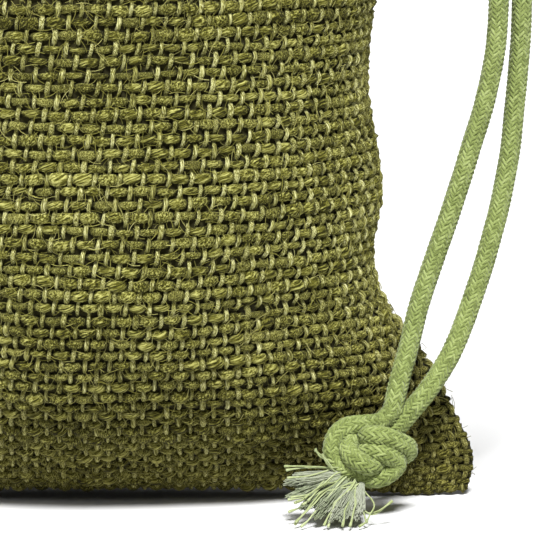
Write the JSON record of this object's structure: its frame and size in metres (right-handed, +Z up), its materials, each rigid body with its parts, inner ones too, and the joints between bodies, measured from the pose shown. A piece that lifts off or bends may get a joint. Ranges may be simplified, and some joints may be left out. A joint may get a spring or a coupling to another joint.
{
  "type": "fabric gift sack",
  "caption": "Upright open-weave jute gift sack with a drawstring casing, ruffled mouth and knotted cotton cord ends.",
  "frame": {"origin": "middle of the bag's outline at the level of the flat base it stands on, cord ends left out", "axes": "+Z up from the base to the mouth, -Y out of the front panel, +X to the side seam that the drawstring leaves"},
  "size_m": [0.1614, 0.0806, 0.208],
  "materials": {
    "jute_cloth": "matt open plain weave of dyed olive jute yarn",
    "jute_fold": "matt jute weave, folded and shaded",
    "cotton_cord": "soft braided pale green cotton",
    "cotton_fray": "loose frayed cotton yarn, paler at its tips",
    "sewing_thread": "dull olive sewing thread"
  },
  "bodies": {
    "sack": {"front_panel": "jute_cloth", "back_panel": "jute_cloth", "base_fold": "jute_fold", "bottom_seam": "jute_fold", "bottom_seam_thread": "sewing_thread", "left_side_seam": "jute_fold", "right_side_seam": "jute_fold", "left_seam_thread": "sewing_thread", "right_seam_thread": "sewing_thread", "casing_front_left": "jute_cloth", "casing_front_right": "jute_cloth", "casing_back_left": "jute_cloth", "casing_back_right": "jute_cloth", "frill_front_left": "jute_cloth", "frill_front_right": "jute_cloth", "frill_back_left": "jute_cloth", "frill_back_right": "jute_cloth", "cord_left_bend": "cotton_cord", "cord_lead_front": "cotton_cord", "cord_lead_back": "cotton_cord"},
    "mouth_front": {"casing_front": "jute_cloth", "frill_front": "jute_cloth", "cord_front": "cotton_cord", "stitches_front_lower": "sewing_thread", "stitches_front_upper": "sewing_thread"},
    "mouth_back": {"casing_back": "jute_cloth", "frill_back": "jute_cloth", "cord_back": "cotton_cord", "stitches_back_lower": "sewing_thread", "stitches_back_upper": "sewing_thread"},
    "drawstring_pull": {"cord_run_front": "cotton_cord", "cord_run_back": "cotton_cord", "knot": "cotton_cord", "frayed_end_left": "cotton_fray", "frayed_end_front": "cotton_fray"}
  },
  "joints": [
    {"name": "pull_drawstring", "type": "slide", "parent": "sack", "child": "drawstring_pull", "axis": [1, 0, 0], "range_m": [0, 0.08]},
    {"name": "close_mouth_front", "type": "slide", "parent": "sack", "child": "mouth_front", "axis": [0, 1, 0], "range_m": [0, 0.019]},
    {"name": "close_mouth_back", "type": "slide", "parent": "sack", "child": "mouth_back", "axis": [0, -1, 0], "range_m": [0, 0.019]}
  ],
  "couplings": [
    {"joint": "close_mouth_front", "follows": "pull_drawstring", "ratio": 0.2375},
    {"joint": "close_mouth_back", "follows": "pull_drawstring", "ratio": 0.2375}
  ]
}
